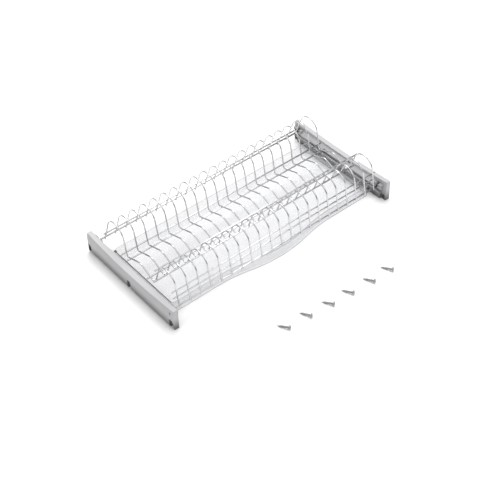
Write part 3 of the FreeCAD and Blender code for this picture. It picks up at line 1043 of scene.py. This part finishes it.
@dataclass
class DripTray:
    """The clear tray, with softened edges, a bead round its rim and base, and near-black strips of
    painted shade along its sides.
    """

    finish: bpy.types.Material
    bead_finish: bpy.types.Material
    painted_shade_finish: bpy.types.Material
    edge_radius: float = 0.5
    edge_angle: float = 40.0
    merge_distance: float = 0.01
    flat_angle: float = 0.5
    floor_tolerance: float = 0.05
    level_share: float = 0.9
    side_share: float = 0.99
    bead_radius: float = 0.6
    corner_radius: float = 8.0
    shade_strip_width: float = 1.5
    shade_strip_height: float = 0.9
    left_shade_strip_inset: float = 0.1
    right_shade_strip_inset: float = -4.4
    shade_strip_overrun: float = 4.0
    shade_block_length: float = 6.0
    shade_block_width: float = 5.0
    shade_block_height: float = 1.3
    bar_edge: float = 0.3

    def outer_loop(self, mesh: bpy.types.Mesh) -> bpy.types.Mesh:
        """Outline of the tray's underside.

        Args:
            mesh: Tray with merged vertices.

        Returns:
            A closed line of edges at floor level.
        """
        work = bmesh.new()
        work.from_mesh(mesh)
        edges = []
        for edge in work.edges:
            flat = [abs(face.normal.z) > self.level_share for face in edge.link_faces]
            low = all(vert.co.z < self.floor_tolerance * MM for vert in edge.verts)
            if low and any(flat) and not all(flat):
                edges.append([tuple(vert.co) for vert in edge.verts])
        work.free()
        places = sorted({place for edge in edges for place in edge})
        number = {place: index for index, place in enumerate(places)}
        loop = bpy.data.meshes.new("tray_outline")
        loop.from_pydata(places, [(number[a], number[b]) for a, b in edges], [])
        return loop

    def build_beads(self, loop: bpy.types.Mesh, rim: float) -> None:
        """Lay the rounded bead of the rim and of the base.

        Args:
            loop: Outline of the tray's underside.
            rim: Height of the rim in metres.
        """
        mesh = BeadTree().apply(
            loop,
            "tray_beads",
            Bead_Radius=self.bead_radius * MM,
            Rim_Height=rim - self.bead_radius * MM,
            Base_Height=self.bead_radius * MM,
            Material=self.bead_finish,
        )
        adopt(object_from("tray_beads", mesh), Body.TRAY, Slot.TRAY)

    def bar(self, work: bmesh.types.BMesh, low: Vector, high: Vector) -> None:
        """Add a bar with softened edges to a mesh.

        Args:
            work: Mesh to add to.
            low: Lowest corner in metres.
            high: Highest corner in metres.
        """
        made = bmesh.ops.create_cube(work, size=1.0)["verts"]
        for vert in made:
            vert.co = Vector(
                low[axis] + (vert.co[axis] + 0.5) * (high[axis] - low[axis]) for axis in range(3)
            )
        edges = list({edge for vert in made for edge in vert.link_edges})
        bmesh.ops.bevel(
            work, geom=edges, offset=self.bar_edge * MM, segments=2, profile=0.5, affect="EDGES"
        )

    def build_shade_strips(self, loop: bpy.types.Mesh, rim: float) -> None:
        """Lay a near-black strip of painted shade along each side of the rim, with a wider block of
        painted shade at the back of the left one.

        Args:
            loop: Outline of the tray's underside.
            rim: Height of the rim in metres.
        """
        wall = max(vert.co.x for vert in loop.vertices)
        back = max(vert.co.y for vert in loop.vertices)
        back -= (self.corner_radius - self.shade_strip_overrun) * MM
        front = min(vert.co.y for vert in loop.vertices if vert.co.x > self.side_share * wall)
        sides = (
            ("left", -1.0, self.left_shade_strip_inset),
            ("right", 1.0, self.right_shade_strip_inset),
        )
        # Painted shade: the left strip darkens the gap between the rim and the rail, and the right one
        # sits out in the slot mouth and darkens it.
        for name, side, inset in sides:
            work = bmesh.new()
            centre = side * (wall - inset * MM)
            half = self.shade_strip_width / 2 * MM
            low = Vector((centre - half, front, rim))
            high = Vector((centre + half, back, rim + self.shade_strip_height * MM))
            self.bar(work, low, high)
            # The wider block at the back of the left strip is painted shade too.
            if side < 0.0:
                wide = self.shade_block_width / 2 * MM
                low = Vector((centre - wide, back - self.shade_block_length * MM, rim))
                high = Vector((centre + wide, back, rim + self.shade_block_height * MM))
                self.bar(work, low, high)
            mesh = bpy.data.meshes.new(f"tray_shade_strip_{name}")
            work.to_mesh(mesh)
            work.free()
            shade_strip = object_from(mesh.name, mesh)
            smooth_by_angle(mesh)
            dress(shade_strip, self.painted_shade_finish)
            adopt(shade_strip, Body.TRAY, Slot.CLIP)

    def build(self, frame: dict) -> None:
        """Copy the tray, round its edges and let the copy stand for it.
        """
        mesh = frame["nodes"]["drip_tray"].data.copy()
        mesh.name = "clear_tray"
        work = bmesh.new()
        work.from_mesh(mesh)
        bmesh.ops.remove_doubles(work, verts=work.verts, dist=self.merge_distance * MM)
        bmesh.ops.dissolve_limit(
            work, angle_limit=math.radians(self.flat_angle), verts=work.verts, edges=work.edges
        )
        work.to_mesh(mesh)
        work.free()
        loop = self.outer_loop(mesh)
        rim = max(vert.co.z for vert in mesh.vertices)
        carrier = object_from("clear_tray_carrier", mesh)
        bevel = carrier.modifiers.new("edges", "BEVEL")
        bevel.width = self.edge_radius * MM
        bevel.segments = 2
        bevel.limit_method = "ANGLE"
        bevel.angle_limit = math.radians(self.edge_angle)
        bevel.use_clamp_overlap = True
        result = plain_mesh(carrier, "clear_tray")
        smooth_by_angle(result)
        tray = object_from("clear_tray", result)
        dress(tray, self.finish)
        adopt(tray, Body.TRAY, Slot.TRAY, "drip_tray")
        self.build_shade_strips(loop, rim)
        self.build_beads(loop, rim)


@dataclass
class FixingScrews:
    """Loose pan-head screws with a rolled thread, lying in a row."""

    finish: bpy.types.Material
    count: int = 6
    pitch: float = 50.8
    first_x: float = -126.5
    first_y: float = -269.5
    drift: float = 3.4
    row_heading: float = -62.0
    turns: tuple[float, ...] = (2.0, -3.6, 0.9, -1.1, -3.4, -1.6)
    roll_step: float = 0.7
    strays: tuple[Point, ...] = (
        (0.3, 0.0),
        (1.4, -0.2),
        (2.0, -3.0),
        (0.2, -2.6),
        (2.0, -3.4),
        (0.0, -0.8),
    )
    length: float = 25.0
    point: float = 8.0
    radius: float = 2.4
    core_radius: float = 2.0
    head_radius: float = 4.8
    head_height: float = 3.0
    head_rim: float = 0.8
    head_edge: float = 0.15
    rim_edge: float = 0.1
    crown_steps: int = 6
    tip_radius: float = 0.2
    tip_height: float = 0.15
    point_share: float = 0.96
    point_blend: float = 0.4
    neck_share: float = 0.95
    neck_start: float = 1.6
    neck_end: float = 0.6
    turned_sides: int = 28
    thread_pitch: float = 1.8
    thread_start: float = 1.2
    thread_shortfall: float = 3.0
    thread_share: float = 0.9
    recess_length: float = 5.2
    recess_width: float = 1.0
    recess_depth: float = 1.5
    recess_taper: float = 0.5
    recess_rise: float = 0.5

    def body_mesh(self) -> bpy.types.Mesh:
        """Shank and head with its cross recess, point down.

        Returns:
            A closed mesh along Z.
        """
        top = self.length + self.head_height
        rim = self.length + self.head_rim
        neck = self.radius * self.neck_share
        outline = [
            (0.0, 0.0),
            (self.tip_radius, self.tip_height),
            (self.core_radius * self.point_share, self.point),
            (self.core_radius, self.point + self.point_blend),
            (self.core_radius, self.length - self.neck_start),
            (neck, self.length - self.neck_end),
            (neck, self.length),
            (self.head_radius - self.head_edge, self.length),
            (self.head_radius, self.length + self.head_edge),
            (self.head_radius, rim - self.rim_edge),
        ]
        for step in range(1, self.crown_steps):
            angle = math.pi / 2 * step / self.crown_steps
            outline.append((self.head_radius * math.cos(angle), rim + (top - rim) * math.sin(angle)))
        outline.append((0.0, top))
        mesh = lathe("screw_body", [(r * MM, z * MM) for r, z in outline], self.turned_sides)
        body = object_from("screw_body", mesh)
        cutter = object_from("screw_recess", self.recess_mesh(top))
        cut = body.modifiers.new("recess", "BOOLEAN")
        cut.operation = "DIFFERENCE"
        cut.solver = "EXACT"
        cut.object = cutter
        result = plain_mesh(body, "screw_body")
        bpy.data.objects.remove(cutter)
        return result

    def recess_mesh(self, top: float) -> bpy.types.Mesh:
        """Tapered cross that cuts the head.

        Args:
            top: Height of the head's crown.

        Returns:
            A closed cross.
        """
        half = self.recess_length / 2
        arm = self.recess_width / 2
        ring = [(half, -arm), (half, arm), (arm, arm), (arm, half), (-arm, half), (-arm, arm)]
        ring += [(-half, arm), (-half, -arm), (-arm, -arm), (-arm, -half), (arm, -half), (arm, -arm)]
        work = bmesh.new()
        floor = (top - self.recess_depth) * MM
        roof = (top + self.recess_rise) * MM
        narrow = self.recess_taper * MM
        low = [work.verts.new((x * narrow, y * narrow, floor)) for x, y in ring]
        high = [work.verts.new((x * MM, y * MM, roof)) for x, y in ring]
        for index in range(len(ring)):
            after = (index + 1) % len(ring)
            work.faces.new((low[index], low[after], high[after], high[index]))
        work.faces.new(list(reversed(low)))
        work.faces.new(high)
        bmesh.ops.recalc_face_normals(work, faces=work.faces)
        mesh = bpy.data.meshes.new("screw_recess")
        work.to_mesh(mesh)
        work.free()
        return mesh

    def threaded(self) -> bpy.types.Mesh:
        """One finished screw along Z with its point at the origin.

        Returns:
            The pattern that every screw is copied from.
        """
        ridge = (self.radius - self.core_radius) * self.thread_share
        run = self.length - self.thread_shortfall
        mesh = ThreadTree().apply(
            self.body_mesh(),
            "threaded_screw",
            Turns=run / self.thread_pitch,
            Core_Radius=self.core_radius * MM,
            Point_Length=self.point * MM,
            Start_Height=self.thread_start * MM,
            Length=run * MM,
            Ridge=ridge * MM,
            Material=self.finish,
        )
        smooth_by_angle(mesh, angle=30.0)
        return mesh

    def build(self) -> None:
        """Lay the screws in their row."""
        tilt = math.atan2(self.head_radius - self.radius, self.length - self.point)
        lift = self.radius * math.cos(tilt) - self.point * math.sin(tilt)
        pattern = self.threaded()
        for index in range(self.count):
            turn = math.radians(self.row_heading + self.turns[index])
            stray_x, stray_y = self.strays[index]
            place = Vector((
                self.first_x + index * self.pitch + stray_x,
                self.first_y - index * self.drift + stray_y,
                lift,
            ))
            matrix = (
                Matrix.Translation(place * MM)
                @ Matrix.Rotation(turn, 4, "Z")
                @ Matrix.Translation(Vector((-self.length / 2 * MM, 0.0, 0.0)))
                @ Matrix.Rotation(math.pi / 2 - tilt, 4, "Y")
                @ Matrix.Rotation(index * self.roll_step, 4, "Z")
            )
            mesh = pattern.copy()
            mesh.transform(matrix)
            piece = object_from(f"pan_head_screw_{index + 1}", mesh)
            adopt(piece, Body.SCREWS, Slot.SCREW, "fixing_screws")


# ------------------------------------------------------------------------ studio
@dataclass
class Studio:
    """Floor, light and camera."""

    floor_finish: bpy.types.Material
    floor_size: float = 80.0
    floor_drop: float = 0.0001
    eye: tuple[float, float, float] = (-0.9975, -1.2551, 1.4673)
    yaw: float = 38.254
    pitch: float = 43.335
    roll: float = -2.084
    lens: float = 79.05
    sensor_width: float = 36.0
    sight: float = 50.0
    tent_stops: tuple[Point, ...] = ((0.0, 0.10), (0.18, 0.16), (0.5, 0.85), (0.8, 1.25))
    tent_strength: float = 0.95

    def build_floor(self) -> None:
        """Lay the floor just under the object."""
        half = self.floor_size / 2
        mesh = bpy.data.meshes.new("studio_floor")
        corners = [(-half, -half), (half, -half), (half, half), (-half, half)]
        mesh.from_pydata([(x, y, -self.floor_drop) for x, y in corners], [], [(0, 1, 2, 3)])
        floor = object_from("studio_floor", mesh)
        dress(floor, self.floor_finish)

    def build_camera(self) -> None:
        """Set the camera at its place and angle."""
        yaw = math.radians(self.yaw)
        pitch = math.radians(self.pitch)
        ahead = Vector((
            math.sin(yaw) * math.cos(pitch),
            math.cos(yaw) * math.cos(pitch),
            -math.sin(pitch),
        ))
        right = Vector((math.cos(yaw), -math.sin(yaw), 0.0))
        up = right.cross(ahead)
        spin = Matrix.Rotation(math.radians(-self.roll), 3, ahead)
        right = spin @ right
        up = spin @ up
        camera = bpy.data.objects.new("camera", bpy.data.cameras.new("camera"))
        camera.data.lens = self.lens
        camera.data.sensor_width = self.sensor_width
        camera.data.clip_end = self.sight
        turn = Matrix((right, up, -ahead)).transposed()
        camera.matrix_world = Matrix.Translation(Vector(self.eye)) @ turn.to_4x4()
        bpy.context.scene.collection.objects.link(camera)
        bpy.context.scene.camera = camera

    def build_light(self, name: str, place: Vector, size: float, power: float) -> None:
        """Hang a square soft light that faces the object.

        Args:
            name: Name of the light.
            place: Where it hangs.
            size: Side of the light in metres.
            power: Power in watts.
        """
        lamp = bpy.data.lights.new(name, "AREA")
        lamp.shape = "SQUARE"
        lamp.size = size
        lamp.energy = power
        holder = bpy.data.objects.new(name, lamp)
        holder.location = place
        holder.rotation_mode = "QUATERNION"
        holder.rotation_quaternion = (-place).to_track_quat("-Z", "Y")
        bpy.context.scene.collection.objects.link(holder)

    def build_world(self) -> None:
        """Surround the scene with a soft tent that is darker near the horizon."""
        world = bpy.data.worlds.new("soft_tent")
        bpy.context.scene.world = world
        world.use_nodes = True
        nodes = world.node_tree.nodes
        links = world.node_tree.links
        place = nodes.new("ShaderNodeTexCoord")
        split = nodes.new("ShaderNodeSeparateXYZ")
        ramp = nodes.new("ShaderNodeValToRGB")
        links.new(place.outputs["Generated"], split.inputs["Vector"])
        links.new(split.outputs["Z"], ramp.inputs["Fac"])
        while len(ramp.color_ramp.elements) < len(self.tent_stops):
            ramp.color_ramp.elements.new(0.5)
        for element, (position, value) in zip(ramp.color_ramp.elements, self.tent_stops):
            element.position = position
            element.color = (value, value, value, 1.0)
        links.new(ramp.outputs["Color"], nodes["Background"].inputs["Color"])
        nodes["Background"].inputs["Strength"].default_value = self.tent_strength

    def build(self) -> None:
        """Make the whole studio."""
        self.build_floor()
        self.build_world()
        self.build_light("key_light", Vector((0.7, 0.9, 2.2)), size=1.6, power=34.0)
        self.build_light("fill_light", Vector((0.3, -1.6, 2.0)), size=1.6, power=9.0)
        self.build_camera()
        bpy.context.scene.view_settings.view_transform = "Standard"
        bpy.context.scene.view_settings.look = "None"


# ------------------------------------------------------------------------- duties
def dress(piece: bpy.types.Object, finish: bpy.types.Material) -> None:
    """Give a piece one finish.

    Args:
        piece: Object to dress.
        finish: Its only material.
    """
    piece.data.materials.clear()
    piece.data.materials.append(finish)


def adopt(piece: bpy.types.Object, body: Body, slot: Slot, *nodes: str) -> None:
    """Let a piece ride on a body and stand for CAD nodes.

    Args:
        piece: Finished piece.
        body: Body that it moves with.
        slot: Not used.
        nodes: CAD nodes that it stands for.
    """
    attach(piece, body.value)
    if nodes:
        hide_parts(*nodes)
    LOG.info("%s rides on %s, %d faces", piece.name, body.value, len(piece.data.polygons))


def main() -> None:
    """Build every piece in order."""
    logging.basicConfig(level=logging.INFO, format="%(message)s")
    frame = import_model()
    wire = PolishedWire().build()
    rod = PolishedWire("polished_rod", bright=(0.71, 0.71, 0.72), dull=(0.57, 0.57, 0.58)).build()
    WireRack(wire, rod, WeldMetal().build()).build()
    rail = MouldedPlastic("rail_plastic", (0.47, 0.47, 0.48), (0.42, 0.42, 0.43)).build()
    clip = MouldedPlastic("clip_plastic", (0.34, 0.345, 0.355), (0.29, 0.295, 0.305)).build()
    # Near-black plastic for the strips of painted shade on the tray.
    shade_strip = MouldedPlastic("painted_shade_plastic", (0.035, 0.035, 0.037), (0.025, 0.025, 0.027)).build()
    SideRails(rail, clip).build(frame)
    bead = ClearPlastic("bead_plastic", face=(0.55, 0.57, 0.59), edge=(0.38, 0.40, 0.43), alpha=0.55)
    DripTray(ClearPlastic().build(), bead.build(), shade_strip).build(frame)
    FixingScrews(ZincPlate().build()).build()
    Studio(PaleFloor().build()).build()


if __name__ == "__main__":
    main()
